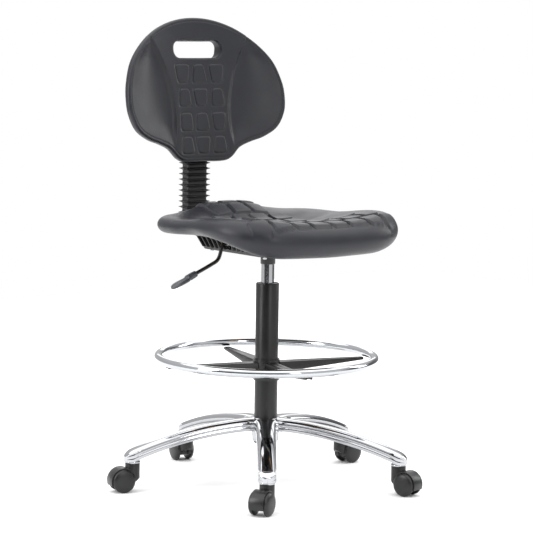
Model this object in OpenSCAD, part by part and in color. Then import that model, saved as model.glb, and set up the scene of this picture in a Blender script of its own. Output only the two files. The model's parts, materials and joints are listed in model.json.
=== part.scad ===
// Drafting chair: five-star base on twin-wheel casters, tall gas column with a
// foot ring, moulded seat and a moulded backrest on a sleeved back bar.
// Frame: +Z up, floor at z = 0, column axis at x = y = 0, sitter faces -Y.

/* [Base] */
// Distance from the column axis to each caster stem
caster_circle_r = 299; // [290:1:310]
// Direction of the first base arm, degrees from +X
base_turn = 234; // [230:1:238]
// Radius of the arc that the arms fall along
arm_arc_r = 820; // [800:10:900]
// Arm width at the hub
arm_root_w = 46; // [42:1:50]
// Arm width over the caster stem
arm_tip_w = 36; // [34:1:38]

/* [Casters] */
// Caster wheel radius
wheel_r = 25; // [24:0.5:26]
// Distance from the swivel axis to the wheel axle
trail = 24; // [22:0.5:26]
// Width of one wheel
wheel_w = 11; // [10:0.5:12]

/* [Column] */
// Outer radius of the column tube
column_r = 25; // [25:0.1:26]
// Height of the top of the column tube
column_top = 441; // [438:1:450]
// Radius of the gas cylinder
cylinder_r = 14; // [14:0.1:14.5]

/* [Foot ring] */
// Radius of the ring's centre line
ring_r = 234; // [228:1:240]
// Radius of the ring's tube
ring_tube_r = 9.5; // [8:0.5:11]
// Height of the ring's centre line
ring_z = 279; // [278:0.5:290]
// Direction of the first ring arm, degrees from +X
ring_turn = -14; // [-20:1:0]

/* [Seat] */
// Seat width
seat_w = 480; // [470:1:490]
// Seat depth
seat_d = 430; // [424:1:436]
// Y of the middle of the seat
seat_mid_y = -29; // [-32:1:-26]
// Height of the top of the seat
seat_top = 606; // [602:1:612]
// Height of the underside of the seat's recess
seat_recess_z = 554.5; // [554:0.5:556]

/* [Back] */
// Lean of the backrest from the vertical
lean = 8.7; // [8:0.1:9.5]
// Height of the bottom edge of the backrest
back_z = 689; // [688:1:700]
// Y of the front face at the bottom edge
back_y = 236; // [234:1:238]
// Radius that the backrest wraps round the sitter
wrap_r = 640; // [600:10:1100]
// Thickness of the backrest in the middle
back_t = 45; // [42:1:50]
// Thickness of the backrest at its edge
back_edge_t = 23; // [20:1:28]
// Y of the middle of the back bar's upright
bar_y = 278; // [277:1:279]

/* [Hidden] */
eps = 0.01;
$fn = 64;

// Rest direction of each caster's trail, degrees from +X, in arm order
trail_dir = [208, 286, 5, 82, 166];

hub_top = 156;
hub_bottom = 96;
hub_r = 33;
boss_bottom = 61.5;
arm_crown = 148;
arm_drop = 25;
arm_wall = 5;
stem_r = 5.5;
stem_fit = 0.05;
stem_bottom = 41;
stem_top = 84;
web_half_w = 12.4;
hood_half_w = 15.5;
hood_r = 28;
hood_neck_r = 15.8;
hood_skirt_z = 15;
hood_neck_z = 22;
axle_r = 3;
wheel_gap = 0.6;
tube_bottom = 92;
tube_r_in = 22.4;
bush_z = 380;
piston_z = 370;
rod_r = 5;
cylinder_bottom = 150;
cylinder_r_in = 12.6;
cone_z0 = 487;
cone_z1 = 522;
cone_r1 = 12.95;
cylinder_top = 521;
pan_w = 210;
pan_d = 300;
pan_mid_y = 20;
pan_floor = 508;
pan_rim = 545;
seat_lip_z = 519;
seat_side_z = 548;
lever_y = 25;
lever_z = 530;
lever_r = 4;
lever_pivot_x = -52;
pivot_y = 112;
pivot_z = 528;
pin_r = 5;
bar_w = 40;
bar_t = 8;
bar_bend_r = 30;
bar_top = 780;
fin_pitch = 12.3;
bellows_z0 = 566;
bellows_n = 10;
housing_z1 = 806;
back_knob_z = 745;
ring_hub_z0 = 230;
ring_hub_z1 = 276;
ring_hub_r = 28.5;
ring_knob_dir = 33;
ring_knob_z = 253;

function base_dir(i) = base_turn + 72 * i;
function arm_z(r, drop = 0) = arm_crown - drop - (arm_arc_r - sqrt(pow(arm_arc_r, 2) - pow(r, 2)));
// One point of a smooth closed curve through the control points p, at 0 <= t < 1 after point i
function smooth_pt(p, i, t) =
    let (n = len(p), a = p[(i + n - 1) % n], b = p[i], c = p[(i + 1) % n], d = p[(i + 2) % n])
    0.5 * (2 * b + (c - a) * t + (2 * a - 5 * b + 4 * c - d) * t * t
           + (3 * b - a - 3 * c + d) * t * t * t);
function smooth(p, steps) = [for (i = [0:len(p) - 1], k = [0:steps - 1]) smooth_pt(p, i, k / steps)];
function mirrored(p) = concat(p, [for (i = [len(p) - 1:-1:0]) if (abs(p[i][0]) > 1) [-p[i][0], p[i][1]]]);

// ---- shared shapes -------------------------------------------------------

module ring(r_out, r_in, h) {
    difference() {
        cylinder(r = r_out, h = h);
        translate([0, 0, -eps]) cylinder(r = r_in, h = h + 2 * eps);
    }
}

module rounded_rect(w, d, r) {
    hx = w / 2 - r;
    hy = d / 2 - r;
    union() {
        square([w, d - 2 * r], center = true);
        square([w - 2 * r, d], center = true);
        for (x = [-hx, hx], y = [-hy, hy]) translate([x, y]) circle(r = r, $fn = 32);
    }
}

// Hexagon-headed bolt, head down at z = 0, shank going up
module bolt_up(shank_r, shank_l, head_r, head_h) {
    union() {
        translate([0, 0, -head_h]) cylinder(r = head_r, h = head_h, $fn = 6);
        translate([0, 0, -0.2]) cylinder(r = shank_r, h = shank_l + 0.2);
    }
}

// Hand knob with finger lobes, screw along +Z from its face at z = 0
module hand_knob(r, h, screw_r, screw_l) {
    lobes = 6;
    union() {
        difference() {
            translate([0, 0, -h]) cylinder(r = r, h = h);
            for (k = [0:lobes - 1]) rotate([0, 0, 360 / lobes * k])
                translate([r + 4, 0, -h - 1]) cylinder(r = 7, h = h + 2, $fn = 32);
        }
        translate([0, 0, -1]) cylinder(r = screw_r + 4, h = 4);
        cylinder(r = screw_r, h = screw_l);
    }
}

// ---- base ----------------------------------------------------------------

module arm_plan(grow) {
    half_root = arm_root_w / 2 + grow;
    half_tip = arm_tip_w / 2 + grow;
    union() {
        polygon([[0, -half_root], [caster_circle_r, -half_tip], [caster_circle_r, half_tip], [0, half_root]]);
        translate([caster_circle_r, 0]) circle(r = half_tip, $fn = 48);
    }
}

// The band between the arm's crown line and a line below it, seen from the side
module arm_side(top_drop, bottom_drop) {
    r_end = caster_circle_r + arm_tip_w / 2 + 1;
    steps = 14;
    rs = [for (k = [0:steps]) r_end * k / steps];
    top = [for (r = rs) [r, arm_z(r, top_drop)]];
    low = [for (k = [steps:-1:0]) [rs[k], arm_z(rs[k], bottom_drop)]];
    rotate([90, 0, 0]) linear_extrude(arm_root_w + 10, center = true) polygon(concat(top, low));
}

module base_arm() {
    difference() {
        intersection() {
            translate([0, 0, boss_bottom]) linear_extrude(200) arm_plan(0);
            arm_side(0, arm_drop);
        }
        intersection() {
            linear_extrude(200) arm_plan(-arm_wall);
            arm_side(arm_wall, arm_drop + 1);
        }
    }
}

module star_base() color("silver") {
    difference() {
        union() {
            for (i = [0:4]) rotate([0, 0, base_dir(i)]) {
                base_arm();
                translate([caster_circle_r, 0, boss_bottom]) cylinder(r = arm_tip_w / 2 - 0.5, h = 24);
            }
            translate([0, 0, hub_bottom]) cylinder(r = hub_r, h = hub_top - hub_bottom);
        }
        translate([0, 0, hub_bottom - 1]) cylinder(r = column_r + 0.02, h = hub_top);
        for (i = [0:4]) rotate([0, 0, base_dir(i)])
            translate([caster_circle_r, 0, boss_bottom - 1]) cylinder(r = stem_r + 1, h = stem_top - boss_bottom);
    }
}

module stem_rings() color("dimgray") {
    for (i = [0:4]) rotate([0, 0, base_dir(i)])
        translate([caster_circle_r, 0, boss_bottom + 2]) ring(stem_r + 0.98, stem_r + 0.02, 18);
}

module caster_stems() color("lightgray") {
    for (i = [0:4]) rotate([0, 0, base_dir(i)])
        translate([caster_circle_r, 0, stem_bottom]) cylinder(r = stem_r, h = stem_top - 2 - stem_bottom);
}

// ---- casters -------------------------------------------------------------

// Places a child at caster i with the swivel axis on Z and the trail along +X
module at_caster(i) {
    a = base_dir(i - 1);
    translate([caster_circle_r * cos(a), caster_circle_r * sin(a), 0]) rotate([0, 0, trail_dir[i - 1]]) children();
}

module caster_hood() color("dimgray") {
    neck_top = boss_bottom - 0.4;
    difference() {
        union() {
            cylinder(r = hood_neck_r, h = neck_top);
            translate([trail, 0, wheel_r]) rotate([90, 0, 0]) cylinder(r = hood_r, h = 2 * hood_half_w, center = true);
        }
        // room for the two wheels beside the web
        for (s = [-1, 1]) translate([trail, s * (web_half_w + 20), wheel_r]) rotate([90, 0, 0])
            cylinder(r = wheel_r + 0.8, h = 40, center = true);
        // skirts end above the floor, higher at the neck
        translate([-40, -40, -10]) cube([100, 80, hood_skirt_z + 10]);
        translate([-40, -40, -10]) cube([40, 80, hood_neck_z + 10]);
        // swivel bore and axle bore
        translate([0, 0, -1]) cylinder(r = stem_r + stem_fit, h = neck_top + 2);
        translate([trail, 0, wheel_r]) rotate([90, 0, 0]) cylinder(r = axle_r + 0.02, h = 40, center = true);
    }
}

module caster_axle() color("silver") {
    translate([trail, 0, wheel_r]) rotate([90, 0, 0])
        cylinder(r = axle_r, h = 2 * (web_half_w + wheel_gap + wheel_w) - 8, center = true);
}

module caster_wheel(side) color("darkslategray") {
    face = web_half_w + wheel_gap;
    translate([trail, 0, wheel_r]) rotate([side * -90, 0, 0]) translate([0, 0, face]) difference() {
        union() {
            cylinder(r = wheel_r, h = wheel_w - 4);
            translate([0, 0, wheel_w - 4]) cylinder(r1 = wheel_r, r2 = wheel_r - 5, h = 4);
        }
        translate([0, 0, -1]) cylinder(r = axle_r + 0.05, h = wheel_w - 2.5);
    }
}

// ---- column --------------------------------------------------------------

module column_tube() color("black") {
    difference() {
        translate([0, 0, tube_bottom]) cylinder(r = column_r, h = column_top - tube_bottom);
        translate([0, 0, tube_bottom + 5]) cylinder(r = tube_r_in, h = column_top);
        translate([0, 0, tube_bottom - 1]) cylinder(r = rod_r + 0.2, h = 10);
    }
}

module column_bush() color("dimgray") {
    translate([0, 0, bush_z]) ring(tube_r_in - 0.05, cylinder_r + 0.05, column_top - bush_z - 1);
}

module thrust_bearing() color("silver") {
    z0 = tube_bottom + 5.05;
    ball_r = 2;
    translate([0, 0, z0]) ring(13, rod_r + 0.2, 2);
    for (k = [0:7]) rotate([0, 0, 45 * k]) translate([9.5, 0, z0 + 2.05 + ball_r]) sphere(r = ball_r, $fn = 24);
    translate([0, 0, z0 + 2.1 + 2 * ball_r]) ring(13, rod_r + 0.2, 2);
}

module piston_rod() color("silver") {
    groove_z = tube_bottom - 5;
    difference() {
        union() {
            translate([0, 0, tube_bottom - 8]) cylinder(r = rod_r, h = piston_z - tube_bottom + 8 + eps);
            translate([0, 0, piston_z]) cylinder(r = cylinder_r_in - 0.06, h = 15);
            translate([0, 0, tube_bottom + 13.6]) cylinder(r = 8, h = 4);
        }
        translate([0, 0, groove_z]) ring(rod_r + 1, rod_r - 1, 2);
    }
}

module retaining_clip() color("gray") {
    difference() {
        translate([0, 0, tube_bottom - 4.9]) ring(9, rod_r - 0.95, 1.8);
        translate([0, -3.5, tube_bottom - 6]) cube([12, 7, 5]);
    }
}

module gas_cylinder() color("gainsboro") {
    difference() {
        union() {
            translate([0, 0, cylinder_bottom]) cylinder(r = cylinder_r, h = cone_z0 - 1 - cylinder_bottom);
            translate([0, 0, cone_z0 - 1]) cylinder(r1 = cylinder_r, r2 = cone_r1 - 0.1, h = cylinder_top - cone_z0 + 1);
        }
        translate([0, 0, cylinder_bottom + 12]) cylinder(r = cylinder_r_in, h = cone_z0 - 24 - cylinder_bottom);
        translate([0, 0, cylinder_bottom - 1]) cylinder(r = rod_r + 0.06, h = 20);
        translate([0, 0, cone_z0 - 8]) cylinder(r = 3.06, h = 60);
    }
}

module release_button() color("silver") {
    translate([0, 0, cone_z0 - 2]) cylinder(r = 3, h = cylinder_top + 4 - cone_z0 + 2);
}

// ---- under the seat ------------------------------------------------------

module cone_socket() color("black") {
    difference() {
        translate([0, 0, cone_z0]) cylinder(r = 16, h = cone_z1 - cone_z0);
        translate([0, 0, cone_z0 - eps])
            cylinder(r1 = cylinder_r + 0.03, r2 = cone_r1 - 0.05, h = cone_z1 - cone_z0 + 2 * eps);
    }
}

module seat_mechanism() color("black") {
    w = 92;
    d = 150;
    z0 = pan_floor + 4;
    z1 = 544.6;
    t = 2.5;
    difference() {
        union() {
            difference() {
                translate([-w / 2, -d / 2, z0]) cube([w, d, z1 - z0]);
                translate([-w / 2 + t, -d / 2 + t, z0 + t]) cube([w - 2 * t, d - 2 * t, z1]);
            }
            for (s = [-1, 1]) translate([s * (w / 2 + 17), 0, z1 - t / 2]) cube([36, d, t], center = true);
        }
        translate([0, 0, z0 - 1]) cylinder(r = 16.02, h = 10);
        translate([-w / 2 - 1, lever_y - 9, lever_z - 7]) cube([5, 18, 14]);
        for (p = seat_bolt_xy()) translate([p[0], p[1], z1 - 10]) cylinder(r = 3.3, h = 20);
    }
}

function seat_bolt_xy() = [for (x = [-66, 66], y = [-55, 55]) [x, y]];
function pan_screw_xy() = [for (x = [-80, 80], y = [-95, 95]) [x, y]];

module pan_wall(w, d, z0, z1) {
    translate([0, pan_mid_y, z0]) linear_extrude(z1 - z0) rounded_rect(w, d, 34);
}

module under_seat_pan() color("black") {
    step_in = 8;
    wall = 3;
    rib_pitch = 18;
    difference() {
        union() {
            pan_wall(pan_w, pan_d, pan_rim - 8, pan_rim);
            pan_wall(pan_w - 2 * step_in, pan_d - 2 * step_in, pan_floor, pan_rim - 8 + eps);
            for (s = [-1, 1], k = [-6:6])
                translate([s * (pan_w / 2 - step_in / 2 - 1), pan_mid_y + k * rib_pitch, (pan_floor + pan_rim) / 2 + 2])
                    cube([step_in + 1, 3, pan_rim - pan_floor - 8], center = true);
        }
        pan_wall(pan_w - 2 * (step_in + wall), pan_d - 2 * (step_in + wall), pan_floor + wall, pan_rim + 1);
        translate([0, 0, pan_floor - 1]) cylinder(r = 20, h = 10);
        // lever slot, back bar slot, tilt knob hole and screw holes
        translate([-pan_w / 2 - 5, lever_y - 12, lever_z - 14]) cube([30, 24, 28]);
        translate([-28, pan_mid_y + pan_d / 2 - 22, pan_floor - 1]) cube([56, 40, 60]);
        translate([0, pivot_y + 20, pan_floor - 1]) cylinder(r = 9, h = 6);
        for (p = pan_screw_xy()) translate([p[0], p[1], pan_floor - 1]) cylinder(r = 2.6, h = 6);
    }
    // posts for the pan screws
    for (p = pan_screw_xy()) translate([p[0], p[1], pan_floor + wall]) ring(5, 2.6, pan_rim - pan_floor - wall);
}

module pan_screws() color("dimgray") {
    for (p = pan_screw_xy()) translate([p[0], p[1], pan_floor - 0.2]) {
        translate([0, 0, -2.5]) cylinder(r1 = 3.6, r2 = 4.5, h = 2.5);
        translate([0, 0, -eps]) cylinder(r = 2.4, h = 50);
    }
}

module seat_bolts() color("dimgray") {
    for (p = seat_bolt_xy()) translate([p[0], p[1], 542]) bolt_up(3.1, 16, 6, 4.5);
}

module seat_insert() color("burlywood") {
    difference() {
        translate([0, pan_mid_y, pan_rim + 0.3]) linear_extrude(9) rounded_rect(250, 330, 40);
        for (p = concat(seat_bolt_xy(), pan_screw_xy()))
            translate([p[0], p[1], pan_rim - 1]) cylinder(r = 3.3, h = 20);
    }
}

// Half outline of the seat, front to back, as share of half width and half depth
seat_half = [[0, -1], [0.5, -0.965], [0.78, -0.83], [0.93, -0.58], [0.97, -0.25], [0.955, 0.05],
             [0.965, 0.33], [0.9, 0.63], [0.7, 0.86], [0.38, 0.975], [0, 0.97]];

module seat_plan(inset) {
    hw = seat_w / 2 - inset;
    hd = seat_d / 2 - inset;
    polygon(smooth(mirrored([for (p = seat_half) [p[0] * hw, p[1] * hd]]), 4));
}

module seat_layer(z, h, inset) {
    translate([0, seat_mid_y, z]) linear_extrude(h) seat_plan(inset);
}

module seat_cushion() color("dimgray") {
    difference() {
        union() {
            difference() {
                seat_layer(seat_lip_z, seat_side_z - seat_lip_z, 34);
                // the front lip hangs lower than the sides and the rear
                translate([-300, -150, 500]) cube([600, 400, 50]);
            }
            seat_layer(seat_side_z, 10, 10);
            seat_layer(seat_side_z + 10, 28, 0);
            seat_layer(seat_side_z + 38, 11, 14);
            seat_layer(seat_side_z + 49, seat_top - seat_side_z - 49, 34);
        }
        translate([0, pan_mid_y, 500]) linear_extrude(seat_recess_z - 500) rounded_rect(256, 336, 42);
        for (p = concat(seat_bolt_xy(), pan_screw_xy()))
            translate([p[0], p[1], seat_recess_z - 1]) cylinder(r = 3.6, h = 7);
        // hollow of the sitting face
        translate([0, seat_mid_y + 5, seat_top - 20]) linear_extrude(30) rounded_rect(250, 200, 90);
    }
}

// ---- height lever --------------------------------------------------------

// Rod through the points p, with a slightly proud ball at every bend
module rod_path(p, r) {
    union() {
        for (k = [0:len(p) - 2]) {
            v = p[k + 1] - p[k];
            l = norm(v);
            translate(p[k]) rotate([0, acos(v[2] / l), atan2(v[1], v[0])]) cylinder(r = r, h = l, $fn = 32);
        }
        for (k = [1:len(p) - 2]) translate(p[k]) sphere(r = r + 0.05, $fn = 32);
    }
}

lever_path = [[0, 4, lever_z - 0.5], [lever_pivot_x, lever_y, lever_z], [-104, lever_y, lever_z - 2],
              [-113, lever_y, lever_z - 18], [-176, lever_y, lever_z - 49]];

module height_lever_rod() color("black") {
    rod_path(lever_path, lever_r);
    // cross pin that the lever rocks on
    translate([lever_pivot_x, lever_y, lever_z]) rotate([90, 0, 0]) cylinder(r = lever_r + 0.5, h = 18, center = true);
}

module height_lever_paddle() color("gray") {
    root = lever_path[len(lever_path) - 1];
    slope = atan2(31, 63);
    translate([root[0] + 8, root[1], root[2] + 4]) rotate([0, 0, 180]) rotate([0, slope, 0]) difference() {
        union() {
            translate([0, 0, 0]) rotate([0, 90, 0]) cylinder(r = 7.5, h = 22, $fn = 48);
            translate([18, -13, -4]) cube([54, 26, 8]);
            translate([72, 0, -4]) cylinder(r = 13, h = 8);
        }
        translate([-1, 0, 0]) rotate([0, 90, 0]) cylinder(r = lever_r + 0.3, h = 18, $fn = 48);
    }
}

// ---- back bar ------------------------------------------------------------

module back_bracket() color("black") {
    z1 = 544.6;
    difference() {
        union() {
            for (s = [-1, 1]) translate([s * 25 - 2, 82, 516]) cube([4, 62, z1 - 516]);
            translate([-27, 82, z1 - 3]) cube([54, 62, 3]);
            translate([-27, pivot_y + 12, 513]) cube([54, 16, 4]);
        }
        translate([0, pivot_y, pivot_z]) rotate([0, 90, 0]) cylinder(r = pin_r + 0.02, h = 80, center = true);
        translate([0, pivot_y + 20, 505]) cylinder(r = 4.06, h = 14);
    }
}

module back_pivot_pin() color("silver") {
    translate([0, pivot_y, pivot_z]) rotate([0, 90, 0]) cylinder(r = pin_r, h = 62, center = true);
}

module back_bar() color("black") {
    y1 = bar_y - bar_t / 2 - bar_bend_r;
    z_low = pivot_z - bar_t / 2;
    union() {
        difference() {
            union() {
                translate([-bar_w / 2, pivot_y, z_low]) cube([bar_w, y1 - pivot_y, bar_t]);
                translate([0, pivot_y, pivot_z]) rotate([0, 90, 0]) cylinder(r = 9, h = bar_w, center = true);
            }
            translate([0, pivot_y, pivot_z]) rotate([0, 90, 0])
                cylinder(r = pin_r + 0.06, h = bar_w + 2, center = true);
        }
        // quarter bend up to the vertical
        translate([bar_w / 2, y1, z_low + bar_t + bar_bend_r]) rotate([0, -90, 0]) rotate([0, 0, 90])
            rotate_extrude(angle = 90) translate([bar_bend_r, 0]) square([bar_t, bar_w]);
        translate([-bar_w / 2, bar_y - bar_t / 2, z_low + bar_t + bar_bend_r])
            cube([bar_w, bar_t, bar_top - z_low - bar_t - bar_bend_r]);
    }
}

module tilt_knob() color("black") {
    translate([0, pivot_y + 20, 507]) hand_knob(16, 9, 4, 9.5);
}

module bellows() color("black") {
    body_w = 50;
    body_d = 25;
    fin = 6;
    h = bellows_n * fin_pitch;
    translate([0, bar_y, bellows_z0]) difference() {
        union() {
            linear_extrude(h) rounded_rect(body_w, body_d, 7);
            for (k = [0:bellows_n - 1]) translate([0, 0, (k + 0.5) * fin_pitch - 1])
                linear_extrude(2.4) rounded_rect(body_w + 2 * fin, body_d + 2 * fin, 10);
        }
        translate([0, 0, -1]) linear_extrude(h + 2) square([bar_w + 2.4, bar_t + 2.4], center = true);
    }
}

// ---- backrest ------------------------------------------------------------

// Half outline of the backrest, bottom to top, in the plane of its face
back_half = [[0, 0], [52, 0], [74, 8], [97, 28], [124, 43], [156, 55], [186, 74], [206, 106],
             [212, 140], [207, 175], [189, 219], [152, 259], [104, 292], [52, 311], [0, 317]];

module back_frame() {
    translate([0, back_y, back_z]) rotate([-lean, 0, 0]) children();
}

// Curved slab from y = near to y = far behind the face, as tall as the backrest
module back_band(near, far) {
    translate([0, -wrap_r, -5]) difference() {
        cylinder(r = wrap_r + far, h = 330, $fn = 256);
        translate([0, 0, -1]) cylinder(r = wrap_r + near, h = 332, $fn = 256);
    }
}

// Part of the backrest between two depths, its outline drawn in by inset
module back_layer(near, far, inset) {
    intersection() {
        back_band(near, far);
        translate([0, 100, 0]) rotate([90, 0, 0]) linear_extrude(200)
            offset(delta = -inset) polygon(smooth(mirrored(back_half), 4));
    }
}

module handle_slot(grow) {
    slot_w = 122 + 2 * grow;
    slot_h = 38 + 2 * grow;
    translate([0, 100, 250]) rotate([90, 0, 0]) linear_extrude(200) rounded_rect(slot_w, slot_h, slot_h / 2 - 0.5);
}

module back_cushion() color("dimgray") {
    pocket_y = 267.7;
    difference() {
        back_frame() {
            back_layer(0, back_edge_t, 0);
            back_layer(back_edge_t - 4, back_t, 26);
        }
        back_frame() handle_slot(0);
        translate([-41, pocket_y, back_z - 10]) cube([82, 100, housing_z1 + 4 - back_z + 10]);
        translate([-38, 261.5, 698]) cube([76, 20, 100]);
        // room for the top of the sleeve
        translate([-34, bar_y - 20, back_z - 12]) cube([68, 60, 16]);
    }
}

module back_insert() color("gray") {
    difference() {
        translate([-36, 262, 700]) cube([72, 5.4, 94]);
        for (p = back_bolt_xz()) translate([p[0], 250, p[1]]) rotate([-90, 0, 0]) cylinder(r = 2.6, h = 40);
    }
}

function back_bolt_xz() = [for (x = [-31, 31], z = [716, 784]) [x, z]];

module back_slide_housing() color("black") {
    y0 = 268;
    y1 = 300;
    difference() {
        translate([-40, y0, back_z + 3]) cube([80, y1 - y0, housing_z1 - back_z - 3]);
        translate([-bar_w / 2 - 0.4, bar_y - bar_t / 2 - 0.4, back_z - 5])
            cube([bar_w + 0.8, bar_t + 0.8, housing_z1 - back_z]);
        translate([0, bar_y, back_knob_z]) rotate([-90, 0, 0]) cylinder(r = 4.06, h = 40);
        for (p = back_bolt_xz()) translate([p[0], 250, p[1]]) rotate([-90, 0, 0]) cylinder(r = 2.6, h = 60);
        // room for the top of the sleeve
        translate([-27, bar_y - 14.5, back_z - 5]) cube([54, 29, 12]);
    }
}

module back_bolts() color("silver") {
    for (p = back_bolt_xz()) translate([p[0], 300.2, p[1]]) rotate([90, 0, 0]) bolt_up(2.5, 37, 4.5, 3);
}

module back_height_knob() color("black") {
    translate([0, 306.5, back_knob_z]) rotate([90, 0, 0]) hand_knob(19, 20, 4, 306.5 - bar_y - bar_t / 2 - 0.3);
}

// ---- foot ring -----------------------------------------------------------

module footring_tube() color("gainsboro") {
    translate([0, 0, ring_z]) rotate_extrude($fn = 128) translate([ring_r, 0]) circle(r = ring_tube_r, $fn = 32);
}

module footring_spider() color("black") {
    z1 = ring_z - ring_tube_r - 0.05;
    depth = 14;
    root_half = 16;
    tip_half = 9;
    difference() {
        union() {
            for (k = [0:3]) rotate([0, 0, ring_turn + 90 * k]) difference() {
                translate([0, 0, z1 - depth]) linear_extrude(depth)
                    polygon([[ring_hub_r - 3, -root_half], [ring_r + 4, -tip_half], [ring_r + 4, tip_half], [ring_hub_r - 3, root_half]]);
                translate([0, 0, z1 - depth - 1]) linear_extrude(depth - 1.5)
                    polygon([[ring_hub_r + 1, -root_half + 2.5], [ring_r + 2, -tip_half + 2.5],
                             [ring_r + 2, tip_half - 2.5], [ring_hub_r + 1, root_half - 2.5]]);
            }
        }
        translate([0, 0, z1 - depth - 2]) cylinder(r = ring_hub_r + 0.02, h = depth + 4);
    }
}

module footring_hub() color("black") {
    difference() {
        union() {
            translate([0, 0, ring_hub_z0]) cylinder(r = ring_hub_r, h = ring_hub_z1 - ring_hub_z0);
            rotate([0, 0, ring_knob_dir]) translate([ring_hub_r - 3, 0, ring_knob_z])
                rotate([0, 90, 0]) cylinder(r = 8, h = 10);
        }
        translate([0, 0, ring_hub_z0 - 1]) cylinder(r = column_r + 2.05, h = 60);
        rotate([0, 0, ring_knob_dir]) translate([10, 0, ring_knob_z]) rotate([0, 90, 0]) cylinder(r = 4.06, h = 40);
    }
}

module footring_liner() color("dimgray") {
    difference() {
        translate([0, 0, ring_hub_z0 + 1]) ring(column_r + 2, column_r + 0.06, ring_hub_z1 - ring_hub_z0 - 2);
        rotate([0, 0, ring_knob_dir]) translate([10, 0, ring_knob_z]) rotate([0, 90, 0]) cylinder(r = 4.2, h = 40);
    }
}

module footring_knob() color("black") {
    rotate([0, 0, ring_knob_dir]) translate([ring_hub_r + 13, 0, ring_knob_z]) rotate([0, -90, 0])
        hand_knob(15, 14, 4, 13 + ring_hub_r - column_r - 0.3);
}

// ---- all nodes -----------------------------------------------------------

star_base();
column_tube();
column_bush();
thrust_bearing();
caster_stems();
stem_rings();
piston_rod();
retaining_clip();
gas_cylinder();
release_button();
seat_mechanism();
cone_socket();
under_seat_pan();
seat_insert();
seat_cushion();
seat_bolts();
pan_screws();
height_lever_rod();
height_lever_paddle();
back_bracket();
back_pivot_pin();
back_bar();
tilt_knob();
bellows();
back_slide_housing();
back_insert();
back_cushion();
back_bolts();
back_height_knob();
footring_tube();
footring_spider();
footring_hub();
footring_liner();
footring_knob();
for (i = [1:5]) at_caster(i) caster_hood();
for (i = [1:5]) at_caster(i) caster_axle();
for (i = [1:5]) at_caster(i) caster_wheel(1);
for (i = [1:5]) at_caster(i) caster_wheel(-1);
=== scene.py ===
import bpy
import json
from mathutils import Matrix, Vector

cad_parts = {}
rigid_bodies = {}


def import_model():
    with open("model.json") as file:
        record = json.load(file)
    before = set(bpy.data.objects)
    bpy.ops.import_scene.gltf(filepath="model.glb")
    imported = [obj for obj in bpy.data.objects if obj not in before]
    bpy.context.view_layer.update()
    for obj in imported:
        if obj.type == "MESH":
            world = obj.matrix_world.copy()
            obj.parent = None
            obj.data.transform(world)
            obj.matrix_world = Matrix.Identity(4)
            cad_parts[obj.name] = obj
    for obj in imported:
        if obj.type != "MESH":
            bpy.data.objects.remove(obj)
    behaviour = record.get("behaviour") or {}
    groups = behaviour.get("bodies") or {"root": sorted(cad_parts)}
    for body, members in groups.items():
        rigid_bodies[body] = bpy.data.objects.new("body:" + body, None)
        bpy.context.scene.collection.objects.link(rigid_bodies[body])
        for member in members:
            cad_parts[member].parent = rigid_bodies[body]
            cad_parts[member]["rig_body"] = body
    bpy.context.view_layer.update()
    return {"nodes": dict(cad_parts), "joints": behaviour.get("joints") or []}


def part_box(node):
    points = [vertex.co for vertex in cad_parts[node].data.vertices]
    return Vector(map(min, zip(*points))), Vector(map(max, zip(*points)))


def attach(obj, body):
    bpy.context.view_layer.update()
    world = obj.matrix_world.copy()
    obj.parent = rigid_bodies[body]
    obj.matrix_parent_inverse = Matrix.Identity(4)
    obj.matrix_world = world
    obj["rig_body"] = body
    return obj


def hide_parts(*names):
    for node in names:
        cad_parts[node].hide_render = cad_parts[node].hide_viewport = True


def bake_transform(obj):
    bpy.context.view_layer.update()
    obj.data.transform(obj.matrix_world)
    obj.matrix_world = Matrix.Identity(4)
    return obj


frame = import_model()

import json
import math

import bmesh
import bpy
import numpy as np
from mathutils import Matrix, Vector

# ---------------------------------------------------------------------------
# Five-star base: one aluminium die casting, ground and polished, then bright
# plated. Five crowned arms fall along an arc from the hub to a flat collar
# over each caster stem; a flute runs along both flanks of every arm.
# ---------------------------------------------------------------------------
MM = 0.001
joints = {j["name"]: j for j in frame["joints"]}
nodes = frame["nodes"]


def srgb(code):
    """Linear colour of an sRGB hex code such as 'a0a0a0'."""
    parts = [int(code[k:k + 2], 16) / 255 for k in (0, 2, 4)]
    return [c / 12.92 if c <= 0.04045 else ((c + 0.055) / 1.055) ** 2.4 for c in parts] + [1.0]


def add_node(tree, kind, inputs=None, **settings):
    """Adds one node. Settings are its own properties, inputs its socket values or links."""
    node = tree.nodes.new(kind)
    for key, value in settings.items():
        setattr(node, key, value)
    for key, value in (inputs or {}).items():
        if isinstance(value, bpy.types.NodeSocket):
            tree.links.new(value, node.inputs[key])
        else:
            node.inputs[key].default_value = value
    return node


def new_material(name, **sockets):
    """A Principled material: (material, tree, shader, object coordinates)."""
    material = bpy.data.materials.new(name)
    material.use_nodes = True
    tree = material.node_tree
    shader = tree.nodes["Principled BSDF"]
    for key, value in sockets.items():
        shader.inputs[key.replace("_", " ")].default_value = value
    place = add_node(tree, "ShaderNodeTexCoord").outputs["Object"]
    return material, tree, shader, place


def vary(tree, source, low, high):
    """Maps a 0 to 1 pattern to the range low to high."""
    return add_node(tree, "ShaderNodeMapRange", {"Value": source, "To Min": low, "To Max": high}).outputs["Result"]


def grain(tree, place, size, detail=2.0):
    """A noise whose blotches are about size metres across."""
    return add_node(tree, "ShaderNodeTexNoise", {"Vector": place, "Scale": 1 / size, "Detail": detail}).outputs["Fac"]


def bumpy(tree, shader, height, depth, strength=1.0):
    """Raises the shader's surface by a pattern of the given depth in metres."""
    bump = add_node(tree, "ShaderNodeBump", {"Height": height, "Distance": depth, "Strength": strength})
    tree.links.new(bump.outputs["Normal"], shader.inputs["Normal"])


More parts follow.
